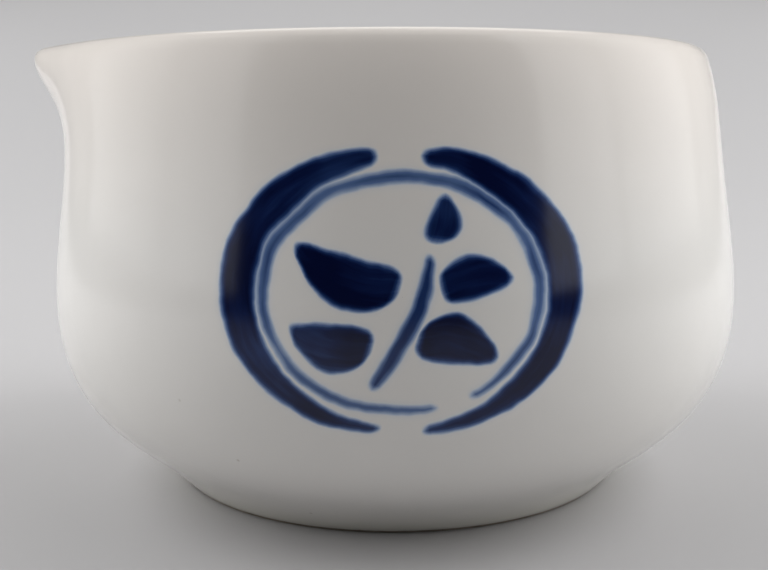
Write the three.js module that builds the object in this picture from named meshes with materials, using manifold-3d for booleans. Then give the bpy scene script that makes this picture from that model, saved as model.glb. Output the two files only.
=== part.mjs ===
// A handle-less porcelain cream jug: a round-bellied bowl on a low foot ring, with one pulled pouring lip.
// Millimetres, +Z up. The origin is the centre of the bounding box's bottom, on the table. The lip points
// to -X and the painted side faces -Y.
// One firing makes it a single object, and each deposit in it is a solid here: the porcelain body, the glaze
// over it, the glaze under its base, and the cobalt brush strokes that lie between the body and the glaze.
import * as THREE from "three";
import { mergeVertices } from "three/addons/utils/BufferGeometryUtils.js";
import Module from "manifold-3d";

const radians = THREE.MathUtils.degToRad;

// Driving dimensions of the turned bowl
const HEIGHT = 60; // of the rim, away from the pouring lip
const BELLY_RADIUS = 48.5;
const BELLY_HEIGHT = 25;
const FLOOR_HEIGHT = 6.4; // top of the inside floor on the axis
const LIP_WALL = 4.1; // wall thickness at the rim, rounded over the top
const LIP_CENTRE_RADIUS = 41.95;
const LIP_LEAN = radians(11.5); // how far the wall leans inwards where it meets the rim
const FOOT_OUTER = 31.6; // outside of the flat ring that stands on the table
const FOOT_INNER = 29.2;
const FOOT_EDGE = 0.5; // rounding of the ring's two edges
const RECESS_DEPTH = 2.2; // under the base, inside the ring
const RECESS_RADIUS = 28.2;

// Driving dimensions of the pouring lip
const SPOUT_SIDE = Math.PI; // the angle round the axis at which it points
const SPOUT_START = 49.6; // height at which the wall turns outwards
const SPOUT_END = 58.2; // height at which it has turned upright again
const SPOUT_EASE = 2.7; // softness of the first turn, and of the second
const SPOUT_END_EASE = 0.6;
const SPOUT_NOSE = radians(4.4); // rounds the lip's tip in plan
const SPOUT_SPREAD = radians(14.7); // how far the pull spreads round the rim
const SPOUT_LIFT = 1.35; // how far the tip stands above the rest of the rim
const LIFT_START = 20; // height from which the wall rises towards the tip
const LIFT_NOSE = radians(8.6);
const LIFT_SPREAD = radians(39);

// Driving dimensions of the glaze and the painting
const GLAZE = 0.3; // thickness of the fired glaze
const GLAZE_EDGE_HEIGHT = 0.9; // the glaze is wiped off the foot below this
const GAP = 0.3; // from the glaze to the porcelain
const PIGMENT = 0.12; // thickness of a cobalt stroke, in the middle of that gap
const RING_WIDTH = 17.5; // semi-axes of the painted ring
const RING_HEIGHT = 14.6;
const MOTIF_OFFSET = 0.7; // from the bowl's axis to the motif's centre
const MOTIF_HEIGHT = 32.3;

// Fineness
const WALL_STEPS = 13;
const LIP_STEPS = 4;
const INSIDE_STEPS = 14;
const ROUND_STEPS = 52;
const SPOUT_CROWDING = 0.65; // the round steps are this much closer together at the pouring lip

const point = (x, y) => new THREE.Vector2(x, y);
const evenly = (steps) => Array.from({ length: steps + 1 }, (_, i) => i / steps);

// ---- Profiles: lists of (radius, height), from the foot's outside over the rim to the axis inside ----

// A point on the rim's round top, at an angle from the outward direction.
function lipPoint(angle) {
  const radius = LIP_WALL / 2;
  return point(LIP_CENTRE_RADIUS + radius * Math.cos(angle), HEIGHT - radius + radius * Math.sin(angle));
}

// The glazed outside wall, from the glaze's lower edge up to the rim.
function outsideWall() {
  const wall = new THREE.SplineCurve([
    point(FOOT_OUTER + 0.75, GLAZE_EDGE_HEIGHT),
    point(35.6, 3.8),
    point(39.7, 7.2),
    point(44.4, 12),
    point(47.35, 18),
    point(BELLY_RADIUS, BELLY_HEIGHT),
    point(47.8, 35),
    point(46.1, 47),
    lipPoint(LIP_LEAN),
  ]);
  return wall.getSpacedPoints(WALL_STEPS);
}

// The glazed inside wall, from the rim down to the middle of the floor.
function insideWall() {
  const wall = new THREE.SplineCurve([
    lipPoint(LIP_LEAN + Math.PI),
    point(42.2, 47),
    point(43.7, 36),
    point(44.1, 26),
    point(42.8, 19),
    point(39.4, 13.4),
    point(34.2, 9.7),
    point(27, 7.6),
    point(15, 6.6),
    point(0, FLOOR_HEIGHT),
  ]);
  return wall.getSpacedPoints(INSIDE_STEPS);
}

function rimTop() {
  const between = evenly(LIP_STEPS).slice(1, -1);
  return between.map((share) => lipPoint(LIP_LEAN + share * Math.PI));
}

const glazedProfile = [...outsideWall(), ...rimTop(), ...insideWall()];

// The glazed profile moved into the wall by a depth. Its last point stays on the axis.
function sunkenProfile(depth) {
  return glazedProfile.map((here, i) => {
    const before = glazedProfile[Math.max(i - 1, 0)];
    const after = glazedProfile[Math.min(i + 1, glazedProfile.length - 1)];
    const along = after.clone().sub(before).normalize();
    const onAxis = i === glazedProfile.length - 1;
    return onAxis ? point(0, here.y - depth) : point(here.x - along.y * depth, here.y + along.x * depth);
  });
}

// The foot ring and the recess under the base, from the axis to the ring's outside.
function footProfile() {
  const corner = FOOT_EDGE * (1 - Math.SQRT1_2);
  const ceiling = RECESS_DEPTH + GLAZE + GAP;
  return [
    point(0, ceiling),
    point(RECESS_RADIUS, ceiling),
    point(FOOT_INNER - FOOT_EDGE, FOOT_EDGE),
    point(FOOT_INNER - corner, corner),
    point(FOOT_INNER, 0),
    point(FOOT_OUTER, 0),
    point(FOOT_OUTER + FOOT_EDGE - corner, corner),
    point(FOOT_OUTER + FOOT_EDGE, FOOT_EDGE),
  ];
}

// The thin disc of glaze that lines the recess.
function baseProfile() {
  const radius = RECESS_RADIUS - GAP;
  const top = RECESS_DEPTH + GLAZE;
  return [point(0, RECESS_DEPTH), point(radius, RECESS_DEPTH), point(radius, top), point(0, top)];
}

// ---- The pouring lip, pulled out of the turned wall ----

// A line that is level below 0 and climbs one for one above it, with a soft bend between.
const softBend = (distance, ease) => ease * Math.log1p(Math.exp(distance / ease));

// How far the lip's middle is pulled out at a height.
function spoutPull(height) {
  return softBend(height - SPOUT_START, SPOUT_EASE) - softBend(height - SPOUT_END, SPOUT_END_EASE);
}

// How far the lip's tip is lifted at a height.
function spoutLift(height) {
  const share = Math.max(height - LIFT_START, 0) / (HEIGHT - LIFT_START);
  return SPOUT_LIFT * share ** 2;
}

// 1 in the middle of the lip, fading round the bowl, with the middle rounded over by nose.
function spoutShare(angle, nose, spread) {
  const away = Math.atan2(Math.sin(angle - SPOUT_SIDE), Math.cos(angle - SPOUT_SIDE));
  return Math.exp((nose - Math.hypot(away, nose)) / spread);
}

// The bowl's axis stands off the origin, which is half way from the lip's tip to the belly's back.
const SPOUT_REACH = Math.max(...glazedProfile.map((here) => here.x + spoutPull(here.y)));
const AXIS_X = (SPOUT_REACH - BELLY_RADIUS) / 2;

// A profile turned round the bowl's axis, with its steps crowded at the pouring lip and the lip pulled out.
function turned(profile) {
  const lathe = new THREE.LatheGeometry(profile, ROUND_STEPS);
  lathe.deleteAttribute("normal");
  lathe.deleteAttribute("uv");
  const place = lathe.getAttribute("position");
  for (let i = 0; i < place.count; i++) {
    const radius = Math.hypot(place.getX(i), place.getZ(i));
    const height = place.getY(i);
    const even = Math.atan2(-place.getZ(i), place.getX(i));
    const angle = even - SPOUT_CROWDING * Math.sin(even - SPOUT_SIDE);
    const pulled = radius + spoutPull(height) * spoutShare(angle, SPOUT_NOSE, SPOUT_SPREAD);
    const lifted = height + spoutLift(height) * spoutShare(angle, LIFT_NOSE, LIFT_SPREAD);
    place.setXYZ(i, AXIS_X + pulled * Math.cos(angle), pulled * Math.sin(angle), lifted);
  }
  return mergeVertices(lathe);
}

// ---- The painted brush strokes, drawn in (x, z) about the motif's centre ----

// How hard the brush presses along a stroke: 0 at its ends, 1 where it presses hardest.
function pressure(along, rise, fall) {
  const peak = rise / (rise + fall);
  return (along / peak) ** rise * ((1 - along) / (1 - peak)) ** fall;
}

// A stroke's outline, from its centre line, half width and the brush's pressure.
function strokeShape({ centre, halfWidth, rise, fall, steps }) {
  const side = (sign) =>
    evenly(steps).map((along) => {
      const before = centre(Math.max(along - 0.5 / steps, 0));
      const after = centre(Math.min(along + 0.5 / steps, 1));
      const across = after.sub(before).normalize().rotateAround(point(0, 0), Math.PI / 2);
      return centre(along).addScaledVector(across, sign * halfWidth * pressure(along, rise, fall));
    });
  return new THREE.Shape([...side(1), ...side(-1).slice(1, -1).reverse()]);
}

// A centre line round the ring between two angles in degrees, at a scale of the ring's size.
function ringLine(from, to, scale) {
  return (along) => {
    const angle = radians(THREE.MathUtils.lerp(from, to, along));
    return point(RING_WIDTH * Math.cos(angle), RING_HEIGHT * Math.sin(angle)).multiplyScalar(scale);
  };
}

// A centre line between two points, bowed to its left by bend in the middle.
function bowedLine(start, end, bend) {
  const bow = end.clone().sub(start).normalize().rotateAround(point(0, 0), Math.PI / 2);
  return (along) => start.clone().lerp(end, along).addScaledVector(bow, 4 * bend * along * (1 - along));
}

const crescent = (name, from, to) => ({
  name,
  centre: ringLine(from, to, 1),
  halfWidth: 1.75,
  rise: 0.5,
  fall: 0.8,
  steps: 20,
});
const leaf = (name, start, end, bend, halfWidth) => ({
  name,
  centre: bowedLine(start, end, bend),
  halfWidth,
  rise: 0.5,
  fall: 0.9,
  steps: 8,
});

const strokes = [
  crescent("cobalt_ring_left", 97, 263),
  crescent("cobalt_ring_right", 83, -83),
  {
    name: "cobalt_ring_inner",
    centre: ringLine(-62, 286, 0.84),
    halfWidth: 0.5,
    rise: 0.3,
    fall: 0.4,
    steps: 36,
  },
  { ...leaf("cobalt_stem", point(-3.4, -10.2), point(3.4, 4.6), -1, 0.62), rise: 0.4, fall: 0.4 },
  leaf("cobalt_leaf_low_left", point(-2.8, -5.4), point(-12, -3), 1.2, 2.4),
  leaf("cobalt_leaf_low_right", point(1.4, -4.7), point(10.4, -6.8), 1.1, 2.3),
  leaf("cobalt_leaf_high_left", point(0, 0.8), point(-11.2, 5.6), 1.6, 2.6),
  leaf("cobalt_leaf_high_right", point(3.9, 0.6), point(12, 1.8), 0.8, 2.1),
  leaf("cobalt_leaf_top", point(3.7, 5.4), point(4.5, 10.6), -0.5, 1.4),
];

// ---- Solids ----

const wasm = await Module();
wasm.setup();

function solidOf(geometry) {
  const merged = mergeVertices(geometry);
  return new wasm.Manifold(
    new wasm.Mesh({
      numProp: 3,
      vertProperties: merged.getAttribute("position").array,
      triVerts: new Uint32Array(merged.index.array),
    }),
  );
}

function geometryOf(solid) {
  const mesh = solid.getMesh();
  return new THREE.BufferGeometry()
    .setAttribute("position", new THREE.BufferAttribute(mesh.vertProperties, 3))
    .setIndex(new THREE.BufferAttribute(mesh.triVerts, 1));
}

// The layer that the painting lies in, round the whole outside wall between the foot and the rim.
function paintedLayer() {
  const depth = GLAZE + (GAP - PIGMENT) / 2;
  const front = sunkenProfile(depth).slice(1, WALL_STEPS);
  const back = sunkenProfile(depth + PIGMENT).slice(1, WALL_STEPS);
  return solidOf(turned([...front, ...back.reverse(), front[0]]));
}

// A stroke's outline as a bar running from the bowl's middle out through the wall's painted side.
function strokeBar(stroke) {
  const reach = { depth: 2 * BELLY_RADIUS, bevelEnabled: false };
  const bar = new THREE.ExtrudeGeometry(strokeShape(stroke), reach);
  bar.deleteAttribute("normal");
  bar.deleteAttribute("uv");
  bar.rotateX(Math.PI / 2);
  bar.translate(AXIS_X + MOTIF_OFFSET, 0, MOTIF_HEIGHT);
  return solidOf(bar);
}

const porcelain = new THREE.MeshStandardMaterial({ color: "#e9e7e0", roughness: 0.6 });
const glaze = new THREE.MeshStandardMaterial({
  color: "#eef0ec",
  roughness: 0.08,
  transparent: true,
  opacity: 0.4,
});
const cobalt = new THREE.MeshStandardMaterial({ color: "#10245a", roughness: 0.3 });

function part(name, geometry, material) {
  const mesh = new THREE.Mesh(geometry, material);
  mesh.name = name;
  return mesh;
}

const jug = new THREE.Group();
jug.add(part("porcelain_body", turned([...footProfile(), ...sunkenProfile(GLAZE + GAP)]), porcelain));
jug.add(part("glaze_coat", turned([...sunkenProfile(GLAZE).reverse(), ...glazedProfile]), glaze));
jug.add(part("base_glaze", turned(baseProfile()), glaze));

const layer = paintedLayer();
for (const stroke of strokes) {
  jug.add(part(stroke.name, geometryOf(layer.intersect(strokeBar(stroke))), cobalt));
}

export default jug;
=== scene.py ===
"""The looks of a porcelain cream jug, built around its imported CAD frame.

Metres, +Z up. The pouring lip points to -X and the painted side faces -Y, towards the camera. The glazed
surface is one smooth turned and pulled skin, and the brush painting under it is a procedural pattern on it.
"""
import math

import bpy
import numpy as np
from mathutils import Matrix, Vector


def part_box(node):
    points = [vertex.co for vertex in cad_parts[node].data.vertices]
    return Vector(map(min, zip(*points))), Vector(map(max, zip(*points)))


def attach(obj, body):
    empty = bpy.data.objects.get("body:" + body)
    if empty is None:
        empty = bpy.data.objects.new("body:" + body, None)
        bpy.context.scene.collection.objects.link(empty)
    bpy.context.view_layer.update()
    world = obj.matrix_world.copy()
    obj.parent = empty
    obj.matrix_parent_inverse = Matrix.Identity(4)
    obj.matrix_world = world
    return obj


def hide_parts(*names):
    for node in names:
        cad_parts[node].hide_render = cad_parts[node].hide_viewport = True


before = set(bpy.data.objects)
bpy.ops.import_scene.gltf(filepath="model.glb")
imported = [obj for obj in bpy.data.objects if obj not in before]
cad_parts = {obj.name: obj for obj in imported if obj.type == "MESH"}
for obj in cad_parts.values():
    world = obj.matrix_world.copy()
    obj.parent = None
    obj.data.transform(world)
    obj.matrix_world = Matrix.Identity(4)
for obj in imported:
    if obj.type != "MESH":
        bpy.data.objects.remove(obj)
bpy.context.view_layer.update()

# ---- Sizes, from the frame ----

MM = 0.001
coat_low, coat_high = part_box("glaze_coat")
base_low, base_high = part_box("base_glaze")

SPOUT_LIFT = 1.35 * MM  # how far the pouring lip's tip stands above the rest of the rim
AXIS_X = (base_low.x + base_high.x) / 2
BELLY_RADIUS = coat_high.x - AXIS_X
HEIGHT = coat_high.z - SPOUT_LIFT
GLAZE_EDGE = coat_low.z
GLAZE = base_high.z - base_low.z
RECESS = base_low.z
RECESS_RADIUS = (base_high.x - base_low.x) / 2

# ---- Sizes of the turned bowl and its pouring lip ----

LIP_RADIUS = 2.05 * MM  # the rim is rounded over by this
LIP_CENTRE_RADIUS = 41.95 * MM
LIP_LEAN = math.radians(11.5)
FLOOR_HEIGHT = 6.4 * MM
FOOT_OUTER = 31.6 * MM
FOOT_INNER = 29.2 * MM
FOOT_EDGE = 0.5 * MM
SPOUT_START = 49.6 * MM
SPOUT_END = 58.2 * MM
SPOUT_EASE = 2.7 * MM
SPOUT_END_EASE = 0.8 * MM
SPOUT_NOSE = math.radians(4.4)
SPOUT_SPREAD = math.radians(14.7)
LIFT_START = 20 * MM
LIFT_NOSE = math.radians(8.6)
LIFT_SPREAD = math.radians(39)

ROUND_STEPS = 288
SPOUT_CROWDING = 0.5  # the round steps are this much closer together at the pouring lip


def smooth_curve(points, spacing):
    """Evenly spaced points, as an array, along the smoothest curve through the given points."""
    points = np.array(points, float)
    chord = np.hypot(*np.diff(points, axis=0).T)
    at = np.concatenate([[0], np.cumsum(chord)])
    count = len(points)
    system = np.zeros((count, count))
    wanted = np.zeros_like(points)
    system[0, 0] = system[-1, -1] = 1
    for i in range(1, count - 1):
        before, after = chord[i - 1], chord[i]
        system[i, i - 1 : i + 2] = before, 2 * (before + after), after
        rise, run = points[i + 1] - points[i], points[i] - points[i - 1]
        wanted[i] = 6 * (rise / after - run / before)
    bend = np.linalg.solve(system, wanted)
    where = np.linspace(0, at[-1], round(at[-1] / spacing) + 1)
    span = np.clip(np.searchsorted(at, where) - 1, 0, count - 2)
    step = chord[span, None]
    left = (where - at[span])[:, None]
    right = step - left
    return (
        (bend[span] * right**3 + bend[span + 1] * left**3) / (6 * step)
        + (points[span] / step - bend[span] * step / 6) * right
        + (points[span + 1] / step - bend[span + 1] * step / 6) * left
    )


# ---- Profiles: arrays of (radius, height) ----

PROFILE_SPACING = 0.8 * MM
RIM_STEPS = 6
CORNER_STEPS = 5
BEAD_STEPS = 6
HIDDEN_STRIDE = 4  # the sides that nobody sees are this much coarser
BODY_DEPTH = 2 * GLAZE  # the porcelain lies this far under the glazed surface
FOOT_GLAZE_RADIUS = FOOT_OUTER + 0.62 * MM  # of the glaze's lower edge
POOL_SPACING = 2 * MM  # between the rings of the glaze in the recess
POOL_CREEP = 0.1 * MM  # that glaze hangs down by this near its edge


def lip_point(angle):
    """A point on the rim's round top, at an angle from the outward direction."""
    return (
        LIP_CENTRE_RADIUS + LIP_RADIUS * math.cos(angle),
        HEIGHT - LIP_RADIUS + LIP_RADIUS * math.sin(angle),
    )


def glazed_profile():
    """The glazed surface, from its lower edge at the foot, over the rim, to the inside floor's middle."""
    wall = [
        (35.6, 3.8),
        (39.7, 7.2),
        (44.4, 12),
        (47.35, 18),
        (BELLY_RADIUS / MM, 25),
        (47.8, 35),
        (46.1, 47),
    ]
    inside = [
        (42.2, 47),
        (43.7, 36),
        (44.1, 26),
        (42.8, 19),
        (39.4, 13.4),
        (34.2, 9.7),
        (27, 7.6),
        (15, 6.6),
    ]
    foot = (FOOT_GLAZE_RADIUS, GLAZE_EDGE / 2)  # the glaze has run half way down to the table
    rim = [lip_point(LIP_LEAN + share * math.pi) for share in np.linspace(0, 1, RIM_STEPS + 1)]
    past_the_axis = (-inside[-1][0] * MM, inside[-1][1] * MM)
    curve = smooth_curve(
        [foot, *np.array(wall) * MM, *rim, *np.array(inside) * MM, (0, FLOOR_HEIGHT), past_the_axis],
        PROFILE_SPACING,
    )
    return np.vstack([curve[curve[:, 0] > PROFILE_SPACING / 2], (0, FLOOR_HEIGHT)])


def sunken(profile, depth):
    """A profile moved into the wall by a depth, with its last point kept on the axis."""
    along = np.gradient(profile, axis=0)
    along /= np.hypot(*along.T)[:, None]
    moved = profile + depth * np.stack([-along[:, 1], along[:, 0]], axis=1)
    moved[-1] = 0, profile[-1, 1] - depth
    return moved


def arc(centre, radius, start, end, steps):
    """Points round a circle between two angles in degrees."""
    angles = np.radians(np.linspace(start, end, steps + 1))
    return np.stack([centre[0] + radius * np.cos(angles), centre[1] + radius * np.sin(angles)], axis=1)


GLAZED = glazed_profile()


# ---- Turned meshes ----


def soft_bend(distance, ease):
    """Level below 0 and one for one above it, with a soft bend between."""
    return ease * np.log1p(np.exp(distance / ease))


def spout_share(angle, nose, spread):
    """1 in the middle of the pouring lip, fading round the bowl, with the middle rounded over by nose."""
    away = np.arctan2(np.sin(angle - math.pi), np.cos(angle - math.pi))
    return np.exp((nose - np.hypot(away, nose)) / spread)


def pulled(radius, height, angle):
    """Places of the points of a turned surface once the pouring lip has been pulled out of it."""
    pull = soft_bend(height - SPOUT_START, SPOUT_EASE) - soft_bend(height - SPOUT_END, SPOUT_END_EASE)
    lift = SPOUT_LIFT * (np.maximum(height - LIFT_START, 0) / (HEIGHT - LIFT_START)) ** 2
    out = radius + pull * spout_share(angle, SPOUT_NOSE, SPOUT_SPREAD)
    up = height + lift * spout_share(angle, LIFT_NOSE, LIFT_SPREAD)
    return np.stack([AXIS_X + out * np.cos(angle), out * np.sin(angle), up], axis=-1)


def turned(name, profile):
    """A closed mesh turned from a profile that starts and ends on the axis."""
    even = np.arange(ROUND_STEPS) * 2 * math.pi / ROUND_STEPS
    angle = even - SPOUT_CROWDING * np.sin(even - math.pi)
    rings = profile[1:-1]
    places = pulled(rings[:, 0, None], rings[:, 1, None], angle[None, :]).reshape(-1, 3)
    poles = [(AXIS_X, 0, profile[0][1]), (AXIS_X, 0, profile[-1][1])]
    first_pole = len(places)
    here = np.arange(ROUND_STEPS)
    after = (here + 1) % ROUND_STEPS
    row = np.arange(len(rings) - 1)[:, None] * ROUND_STEPS
    quads = np.stack([row + here, row + after, row + ROUND_STEPS + after, row + ROUND_STEPS + here], axis=-1)
    top = (len(rings) - 1) * ROUND_STEPS
    faces = quads.reshape(-1, 4).tolist()
    faces += [(first_pole, after[i], here[i]) for i in here]
    faces += [(first_pole + 1, top + here[i], top + after[i]) for i in here]
    mesh = bpy.data.meshes.new(name)
    mesh.from_pydata([*places.tolist(), *poles], [], faces)
    mesh.validate()
    mesh.shade_smooth()
    piece = bpy.data.objects.new(name, mesh)
    bpy.context.collection.objects.link(piece)
    return piece


# ---- The pieces ----


def glaze_coat():
    """The skin of glaze over the outside, the rim and the inside, with a rounded bead at the foot."""
    hidden = sunken(GLAZED, GLAZE)[::-1]
    coarse = np.vstack([hidden[:-1:HIDDEN_STRIDE], hidden[-1]])
    centre = (hidden[-1] + GLAZED[0]) / 2
    lean = math.degrees(math.atan2(*(GLAZED[0] - hidden[-1])[::-1]))
    bead = arc(centre, GLAZE / 2, lean - 180, lean, BEAD_STEPS)[1:-1]
    return turned("glaze_skin", np.vstack([coarse, bead, GLAZED]))


def porcelain_body():
    """The porcelain under the glaze. Only its foot ring shows, bare of glaze."""
    ceiling = RECESS + BODY_DEPTH
    inner = arc((FOOT_INNER, FOOT_EDGE), FOOT_EDGE, 180, 270, CORNER_STEPS)
    outer = arc((FOOT_OUTER, FOOT_EDGE), FOOT_EDGE, -90, 0, CORNER_STEPS)
    recess = [(0, ceiling), (RECESS_RADIUS, ceiling)]
    under_the_glaze = sunken(GLAZED, BODY_DEPTH)
    wall = [*under_the_glaze[:-1:HIDDEN_STRIDE], under_the_glaze[-1]]
    return turned("foot_and_body", np.vstack([recess, inner, outer, wall]))


def base_glaze():
    """The glaze in the recess under the base, creeping down a little at its edge."""
    edge = arc((RECESS_RADIUS - GLAZE, RECESS + GLAZE / 2), GLAZE / 2, -90, 90, BEAD_STEPS)
    creep_start = RECESS_RADIUS - 4 * GLAZE
    creep = [(creep_start, RECESS), (RECESS_RADIUS - 2 * GLAZE, RECESS - POOL_CREEP)]
    rings = int(creep_start / POOL_SPACING)
    flat = [(ring * POOL_SPACING, RECESS) for ring in range(rings)]
    return turned("base_glaze_pool", np.vstack([flat, creep, edge, (0, RECESS + GLAZE)]))


# ---- Patterns: formulas written over a surface ----


class Field:
    """A number that varies over a surface: a shader socket that adds and multiplies as numbers do."""

    def __init__(self, tree, socket):
        self.tree = tree
        self.socket = socket

    def math(self, operation, *others, clamp=False):
        """The result of one shader math operation on this field and up to two others."""
        node = self.tree.nodes.new("ShaderNodeMath")
        node.operation = operation
        node.use_clamp = clamp
        for slot, value in zip(node.inputs, (self, *others)):
            plug(self.tree, slot, value)
        return Field(self.tree, node.outputs[0])

    def __add__(self, other):
        return self.math("ADD", other)

    def __radd__(self, other):
        return self.math("ADD", other)

    def __sub__(self, other):
        return self.math("SUBTRACT", other)

    def __rsub__(self, other):
        return self.math("MULTIPLY", -1).math("ADD", other)

    def __mul__(self, other):
        return self.math("MULTIPLY", other)

    def __rmul__(self, other):
        return self.math("MULTIPLY", other)

    def __truediv__(self, other):
        return self.math("DIVIDE", other)

    def __pow__(self, other):
        return self.math("POWER", other)

    def clamped(self):
        """The field, kept between 0 and 1."""
        return self.math("ADD", 0, clamp=True)

    def above(self, other):
        """The greater of the field and another."""
        return self.math("MAXIMUM", other)

    def size(self):
        """The field without its sign."""
        return self.math("ABSOLUTE")


def plug(tree, slot, value):
    """Links a field to a socket, or sets the socket to a plain value."""
    if isinstance(value, Field):
        tree.links.new(value.socket, slot)
    else:
        slot.default_value = value


def length(x, z):
    """The length of a vector with two parts."""
    return (x * x + z * z).math("SQRT")


def vector(tree, x, y, z):
    """A vector field with three parts, each a field or a plain number."""
    node = tree.nodes.new("ShaderNodeCombineXYZ")
    for slot, value in zip(node.inputs, (x, y, z)):
        plug(tree, slot, value)
    return Field(tree, node.outputs[0])


def noise(tree, where, scale, detail=2.0, roughness=0.5, seed=0.0):
    """Smooth noise between 0 and 1."""
    node = tree.nodes.new("ShaderNodeTexNoise")
    node.noise_dimensions = "4D"
    node.inputs["W"].default_value = seed
    node.inputs["Scale"].default_value = scale
    node.inputs["Detail"].default_value = detail
    node.inputs["Roughness"].default_value = roughness
    plug(tree, node.inputs["Vector"], where)
    return Field(tree, node.outputs["Fac"])


def millimetres(tree):
    """The surface's own place, in millimetres: the whole vector, then its x, y and z."""
    place = tree.nodes.new("ShaderNodeTexCoord").outputs["Object"]
    scaled = tree.nodes.new("ShaderNodeVectorMath")
    scaled.operation = "SCALE"
    scaled.inputs["Scale"].default_value = 1 / MM
    tree.links.new(place, scaled.inputs[0])
    parts = tree.nodes.new("ShaderNodeSeparateXYZ")
    tree.links.new(scaled.outputs[0], parts.inputs[0])
    return Field(tree, scaled.outputs[0]), *(Field(tree, out) for out in parts.outputs)


def ramp(tree, value, stops):
    """A colour for each value, from (value, colour) stops."""
    node = tree.nodes.new("ShaderNodeValToRGB")
    elements = node.color_ramp.elements
    while len(elements) < len(stops):
        elements.new(1.0)
    for element, (at, colour) in zip(elements, stops):
        element.position = at
        element.color = (*colour, 1)
    plug(tree, node.inputs["Fac"], value)
    return Field(tree, node.outputs["Color"])


def mixed(tree, share, first, second):
    """Two colours mixed by a share between 0 and 1."""
    node = tree.nodes.new("ShaderNodeMix")
    node.data_type = "RGBA"
    plug(tree, node.inputs["Factor"], share)
    for slot, value in ((node.inputs[6], first), (node.inputs[7], second)):
        plug(tree, slot, value if isinstance(value, Field) else (*value, 1))
    return Field(tree, node.outputs[2])


def material(name):
    """A new material, with its node tree and its surface shader."""
    made = bpy.data.materials.new(name)
    made.use_nodes = True
    return made, made.node_tree, made.node_tree.nodes["Principled BSDF"]


def bumped(tree, shader, height, depth):
    """Gives a shader's surface the relief of a height field that is depth deep in metres."""
    node = tree.nodes.new("ShaderNodeBump")
    node.inputs["Strength"].default_value = 1
    node.inputs["Distance"].default_value = depth
    plug(tree, node.inputs["Height"], height)
    tree.links.new(node.outputs["Normal"], shader.inputs["Normal"])


# ---- The brush painting, in millimetres about its centre ----

BOWL_X = AXIS_X / MM
MOTIF_X = BOWL_X + 0.7
MOTIF_Z = 32.3
RING_WIDTH = 17.5  # semi-axes of the painted ring
RING_HEIGHT = 14.6
INSIDE_RADIUS = 45.2  # the inside wall lies nearer to the bowl's axis than this, and the painted wall farther
NEAR_CENTRE = 0.01  # this share of the ring keeps its middle from a division by 0

RING_STROKES = [
    # first and last angle in degrees, scale of the ring, half width, rise, fall, how much cobalt
    (97, 263, 1, 1.75, 0.5, 0.8, 0.9),
    (83, -83, 1, 1.75, 0.5, 0.8, 1.0),
    (-62, 286, 0.84, 0.5, 0.3, 0.4, 0.5),
]
SPRIG_STROKES = [
    # start, end, bow to the left, half width, rise, fall, how much cobalt
    ((-3.4, -10.2), (3.4, 4.6), -1, 0.62, 0.4, 0.4, 0.6),
    ((-2.8, -5.4), (-12, -3), 1.2, 2.4, 0.5, 0.9, 0.86),
    ((1.4, -4.7), (10.4, -6.8), 1.1, 2.3, 0.5, 0.9, 1.0),
    ((0, 0.8), (-11.2, 5.6), 1.6, 2.6, 0.5, 0.9, 0.96),
    ((3.9, 0.6), (12, 1.8), 0.8, 2.1, 0.5, 0.9, 0.84),
    ((3.7, 5.4), (4.5, 10.6), -0.5, 1.4, 0.5, 0.9, 0.78),
]
EDGE_SOFTNESS = 1.25  # the pigment fades over this width
EDGE_OUTSIDE = 0.55  # and this share of the width lies outside the stroke
END_SOFTNESS = 1.0  # it fades over this length at a stroke's two ends
HALO = 1.4  # a last trace of it reaches this far
HALO_SHARE = 0.10  # and is this strong where it starts, at the stroke's edge
STREAK_LENGTH = 9  # of the streaks that the brush's hairs leave
STREAKS_ACROSS = 1.3  # in a millimetre
STREAK_LEAST = 0.66  # the share of the cobalt in the palest streak
STREAK_SPAN = 0.68  # and how much more there can be
STREAK_SEED = 7  # times a stroke's cobalt, so that strokes with more and less of it streak differently
WASH_LEAST = 0.45  # the same for the broad washes over the whole painting
WASH_SPAN = 1.0
WANDER = 1.1  # the strokes stray over this span from where they are drawn
TREMBLE = 0.15  # and their edges tremble over this one


def pressure(along, rise, fall):
    """How hard the brush presses along a stroke: 0 at its ends, 1 where it presses hardest."""
    peak = rise / (rise + fall)
    inked = along.clamped()
    return (inked / peak) ** rise * ((1 - inked) / (1 - peak)) ** fall


def ring_stroke(x, z, first, last, scale):
    """A point's place on a stroke round the ring: the share of the way along, how far off, the length."""
    direction = math.copysign(1, last - first)
    span = math.radians(abs(last - first))
    angle = (z / RING_HEIGHT).math("ARCTAN2", x / RING_WIDTH)
    turn = ((angle - math.radians(first)) * direction).math("FLOORED_MODULO", 2 * math.pi)
    reach = length(x / RING_WIDTH, z / RING_HEIGHT)
    off = (reach - scale) * length(x, z) / reach.above(NEAR_CENTRE)
    return turn / span, off, span * RING_WIDTH * scale


def sprig_stroke(x, z, start, end, bow):
    """The same for a stroke between two points, bowed to its left."""
    run = np.subtract(end, start)
    reach = float(np.hypot(*run))
    ahead, aside = (float(part) for part in run / reach)
    from_x, from_z = x - start[0], z - start[1]
    along = (from_x * ahead + from_z * aside) / reach
    off = from_z * ahead - from_x * aside - 4 * bow * along * (1 - along)
    return along, off, reach


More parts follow.
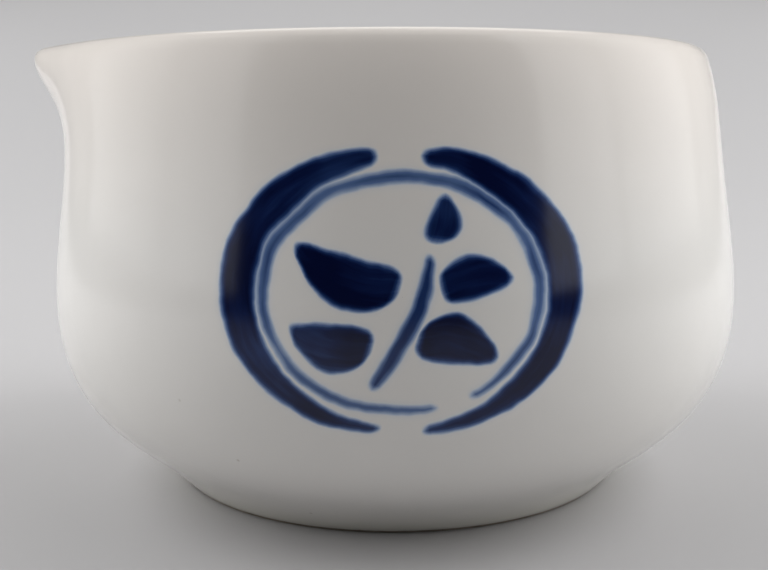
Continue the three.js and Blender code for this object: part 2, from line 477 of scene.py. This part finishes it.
def laid(tree, stroke, half_width, rise, fall, amount):
    """The cobalt that one stroke lays down, from 0 to about 1, with soft edges and the streaks of a brush."""
    along, off, reach = stroke
    width = half_width * pressure(along, rise, fall)
    past_the_end = (along - 1).above(-1 * along).above(0) * reach
    beyond = off.size() - width + past_the_end
    inked = (EDGE_OUTSIDE - beyond / EDGE_SOFTNESS).clamped()
    smooth = inked * inked * (3 - 2 * inked)
    ends = ((0.5 - (along - 0.5).size()) * reach / END_SOFTNESS).clamped()
    trace = (1 - beyond / HALO).clamped() ** 2 * HALO_SHARE
    on_the_stroke = vector(tree, along * (reach / STREAK_LENGTH), off * STREAKS_ACROSS, 0)
    streaks = noise(tree, on_the_stroke, scale=1.0, detail=3.0, seed=amount * STREAK_SEED)
    streaked = amount * (STREAK_LEAST + STREAK_SPAN * streaks)
    return (smooth * streaked).above(trace) * ends


def cobalt(tree, place, x, y, z):
    """All the cobalt on the painted side, with the brush's unsteadiness and the washes of the pigment."""
    fine = (noise(tree, place, scale=0.9, detail=3.0) - 0.5) * TREMBLE
    drift_x = (noise(tree, place, scale=0.2) - 0.5) * WANDER + fine
    drift_z = (noise(tree, place, scale=0.2, seed=5) - 0.5) * WANDER + fine
    outside = length(x - BOWL_X, y).math("GREATER_THAN", INSIDE_RADIUS)
    painted_side = y.math("LESS_THAN", 0)
    x = x - MOTIF_X + drift_x
    z = z - MOTIF_Z + drift_z
    total = 0 * x
    for first, last, scale, *brush in RING_STROKES:
        total = total.above(laid(tree, ring_stroke(x, z, first, last, scale), *brush))
    for start, end, bow, *brush in SPRIG_STROKES:
        total = total.above(laid(tree, sprig_stroke(x, z, start, end, bow), *brush))
    wash = WASH_LEAST + WASH_SPAN * noise(tree, place, scale=0.13, seed=9)
    return total * wash * painted_side * outside


# ---- Materials ----

WHITES = [(0.3, (0.80, 0.785, 0.755)), (0.7, (0.84, 0.82, 0.79))]  # from the mottling's low to its high
RIM_WHITE = (0.87, 0.805, 0.745)  # the glaze thins and warms towards the rim
RIMWARD_START = 36  # millimetres above the table
RIMWARD_SPAN = 26
RIMWARD_SHARE = 0.8
POOLED_WHITE = (0.62, 0.61, 0.50)  # the glaze is thicker and yellower at the foot
POOLED_SPAN = 7  # millimetres above the glaze's lower edge
POOLED_SHARE = 0.38
SPECK_BROWN = (0.36, 0.30, 0.22)
SPECK_CELLS = 0.16  # in a millimetre. Each holds one speck, and the surface meets few of them
SPECK_FADE = 22  # a speck fades out over one part in this many of its cell
SPECK_SHARE = 0.5
GLAZE_IOR = 1.42
GLAZE_ROUGHNESS = 0.10
GLAZE_ROUGHNESS_SPAN = 0.06
GLAZE_RELIEF = 0.12 * MM  # the depth of the glaze's waves
PEEL_SHARE = 0.03  # the depth of its fine orange peel, as a share of the waves'
BLUES = [
    # how much cobalt, and its colour under the glaze
    (0.0, (0.70, 0.74, 0.80)),
    (0.14, (0.42, 0.52, 0.68)),
    (0.32, (0.110, 0.185, 0.38)),
    (0.55, (0.016, 0.042, 0.150)),
    (0.8, (0.0035, 0.0115, 0.064)),
    (1.0, (0.0010, 0.0040, 0.033)),
]
BLUE_ONSET = 7  # the white gives way to the blues over the first seventh of the cobalt
BISCUIT_PAINTED_SHADE = [(0.35, (0.17, 0.14, 0.105)), (0.65, (0.30, 0.26, 0.21))]  # painted shade: the shadow line where the foot meets the table, painted dark into the biscuit, from its darker to its lighter tone
BISCUIT_ROUGHNESS = 0.62
BISCUIT_ROUGHNESS_SPAN = 0.2
BISCUIT_RELIEF = 0.03 * MM


def glazed_porcelain(name, painted):
    """Clear glaze over white porcelain: faintly mottled, pooled at the foot, with a few specks."""
    made, tree, shader = material(name)
    place, x, y, z = millimetres(tree)
    mottle = noise(tree, place, scale=0.035, detail=3.0)
    colour = ramp(tree, mottle, WHITES)
    pooled = (1 - (z - GLAZE_EDGE / MM) / POOLED_SPAN).clamped() ** 2 * POOLED_SHARE
    colour = mixed(tree, pooled, colour, POOLED_WHITE)
    rimward = ((z - RIMWARD_START) / RIMWARD_SPAN).clamped() * RIMWARD_SHARE
    colour = mixed(tree, rimward, colour, RIM_WHITE)
    grains = tree.nodes.new("ShaderNodeTexVoronoi")
    grains.inputs["Scale"].default_value = SPECK_CELLS
    tree.links.new(place.socket, grains.inputs["Vector"])
    from_grain = Field(tree, grains.outputs["Distance"])
    speck = (1 - from_grain * SPECK_FADE).clamped() * SPECK_SHARE
    colour = mixed(tree, speck, colour, SPECK_BROWN)
    if painted:
        ink = cobalt(tree, place, x, y, z)
        colour = mixed(tree, (ink * BLUE_ONSET).clamped(), colour, ramp(tree, ink, BLUES))
    tree.links.new(colour.socket, shader.inputs["Base Color"])
    waves = noise(tree, place, scale=0.06)
    peel = noise(tree, place, scale=0.7, roughness=0.4)
    unevenness = noise(tree, place, scale=0.12, detail=3.0)
    plug(tree, shader.inputs["Roughness"], GLAZE_ROUGHNESS + GLAZE_ROUGHNESS_SPAN * unevenness)
    shader.inputs["IOR"].default_value = GLAZE_IOR
    bumped(tree, shader, waves + peel * PEEL_SHARE, GLAZE_RELIEF)
    return made


def bare_porcelain():
    """Biscuit porcelain: matte and finely ground, its colour darkened with painted shade for the shadow line
    where the foot meets the table.
    """
    made, tree, shader = material("bare_porcelain")
    place, *_ = millimetres(tree)
    # painted shade: the biscuit's tone varies at random between its two darkened colours
    shade_tone = noise(tree, place, scale=0.25, detail=4.0, roughness=0.6)
    tree.links.new(ramp(tree, shade_tone, BISCUIT_PAINTED_SHADE).socket, shader.inputs["Base Color"])
    unevenness = noise(tree, place, scale=2.0, detail=4.0)
    plug(tree, shader.inputs["Roughness"], BISCUIT_ROUGHNESS + BISCUIT_ROUGHNESS_SPAN * unevenness)
    grain = noise(tree, place, scale=6.0, detail=6.0, roughness=0.7)
    bumped(tree, shader, grain, BISCUIT_RELIEF)
    return made


# ---- Putting the jug together ----

glaze_piece = glaze_coat()
glaze_piece.data.materials.append(glazed_porcelain("painted_glaze", painted=True))
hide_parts("glaze_coat", *(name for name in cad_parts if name.startswith("cobalt_")))
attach(glaze_piece, "root")

body_piece = porcelain_body()
body_piece.data.materials.append(bare_porcelain())
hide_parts("porcelain_body")
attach(body_piece, "root")

base_piece = base_glaze()
base_piece.data.materials.append(glazed_porcelain("base_glaze_white", painted=False))
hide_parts("base_glaze")
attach(base_piece, "root")

# ---- The studio ----

FLOOR_GREY = (0.465, 0.459, 0.463, 1)
FLOOR_ROUGHNESS = 0.55
FLOOR_NEAR = -1.2
FLOOR_FAR = 0.15  # where the level floor starts to turn up
FLOOR_BEND = 1.1  # the radius of that turn
FLOOR_HALF_WIDTH = 1.8
FLOOR_BEND_POINTS = 48

PANEL_ASIDE = 0.42  # from the middle to the side panels
PANEL_MIDDLE = 0.5  # height of their middles above the table
PANEL_HEIGHT = 0.9
PANELS = (
    # how far back each side panel stands, its width, and the share of its light that mirrors in the glaze
    (-0.27, 0.26, 0.9),
    (0.03, 0.30, 0.12),
    (0.45, 0.50, 0.03),
)
PANEL_POWERS = {-1: (0.75, 3.7, 3.1), 1: (1.1, 3.9, 3.1)}  # of the left and the right side's panels
MIRRORED_BEHIND = 0.01  # lights in exactly the same place would hide each other

CAMERA_AWAY = 0.1516  # from the bowl's axis
CAMERA_HEIGHT = 0.0492
CAMERA_DOWN = math.radians(8.6)
CAMERA_LEFT = math.radians(0.58)
CAMERA_TILT = math.radians(0.366)  # clockwise
CAMERA_SENSOR = 36  # millimetres
CAMERA_LENS = 47.6

WORLD_GREY = (0.9, 0.9, 0.92, 1)
WORLD_STRENGTH = 0.02


def studio_floor():
    """A pale floor that curves up into a backdrop."""
    angles = np.linspace(0, math.pi / 2, FLOOR_BEND_POINTS)
    turn = [(FLOOR_FAR + FLOOR_BEND * math.sin(a), FLOOR_BEND - FLOOR_BEND * math.cos(a)) for a in angles]
    line = [(FLOOR_NEAR, 0), *turn]
    places = [(side * FLOOR_HALF_WIDTH, y, z) for y, z in line for side in (-1, 1)]
    faces = [(2 * i, 2 * i + 1, 2 * i + 3, 2 * i + 2) for i in range(len(line) - 1)]
    mesh = bpy.data.meshes.new("studio_floor")
    mesh.from_pydata(places, [], faces)
    mesh.shade_smooth()
    floor = bpy.data.objects.new("studio_floor", mesh)
    bpy.context.collection.objects.link(floor)
    made, _, shader = material("studio_floor")
    shader.inputs["Base Color"].default_value = FLOOR_GREY
    shader.inputs["Roughness"].default_value = FLOOR_ROUGHNESS
    mesh.materials.append(made)


def soft_light(name, place, target, width, height, power, mirrored):
    """A soft rectangular light facing a target. Only the mirrored share of its power shows in the glaze."""
    facing = (Vector(target) - Vector(place)).normalized()
    for share, behind, mirrors in ((1 - mirrored, 0, False), (mirrored, MIRRORED_BEHIND, True)):
        lamp = bpy.data.lights.new(name, "AREA")
        lamp.shape = "RECTANGLE"
        lamp.size = width
        lamp.size_y = height
        lamp.energy = share * power
        light = bpy.data.objects.new(name, lamp)
        light.location = Vector(place) - behind * facing
        light.rotation_euler = facing.to_track_quat("-Z", "Y").to_euler()
        light.visible_glossy = mirrors
        bpy.context.collection.objects.link(light)


def studio_lights():
    """Three tall panels on each side of the jug, and a panel high up behind it."""
    for side, powers in PANEL_POWERS.items():
        for (y, width, mirrored), power in zip(PANELS, powers):
            place = (side * PANEL_ASIDE, y, PANEL_MIDDLE)
            soft_light("side_panel", place, (0, y, PANEL_MIDDLE), width, PANEL_HEIGHT, power, mirrored)
    soft_light(
        "back_panel",
        place=(0, 0.65, 0.8),
        target=(0, 0.1, 0),
        width=0.8,
        height=0.4,
        power=1.2,
        mirrored=0.9,
    )


def studio_camera():
    """The camera, close in front of the painted side and looking a little down."""
    right = Vector((math.cos(CAMERA_LEFT), math.sin(CAMERA_LEFT), 0))
    level = Vector((-math.sin(CAMERA_LEFT), math.cos(CAMERA_LEFT), 0))
    ahead = level * math.cos(CAMERA_DOWN) - Vector((0, 0, math.sin(CAMERA_DOWN)))
    up = right.cross(ahead)
    lens = bpy.data.cameras.new("studio_camera")
    lens.sensor_width = CAMERA_SENSOR
    lens.lens = CAMERA_LENS
    lens.clip_start = 0.01
    camera = bpy.data.objects.new("studio_camera", lens)
    turned_right = right * math.cos(CAMERA_TILT) - up * math.sin(CAMERA_TILT)
    turned_up = up * math.cos(CAMERA_TILT) + right * math.sin(CAMERA_TILT)
    axes = Matrix((turned_right, turned_up, -ahead)).transposed()
    camera.matrix_world = Matrix.Translation((AXIS_X, -CAMERA_AWAY, CAMERA_HEIGHT)) @ axes.to_4x4()
    bpy.context.collection.objects.link(camera)
    bpy.context.scene.camera = camera


def studio_world():
    """The faint grey light that comes from everywhere in the studio."""
    world = bpy.data.worlds.new("studio")
    world.use_nodes = True
    background = world.node_tree.nodes["Background"]
    background.inputs["Color"].default_value = WORLD_GREY
    background.inputs["Strength"].default_value = WORLD_STRENGTH
    bpy.context.scene.world = world


studio_floor()
studio_world()
studio_lights()
studio_camera()
bpy.context.scene.view_settings.view_transform = "Standard"
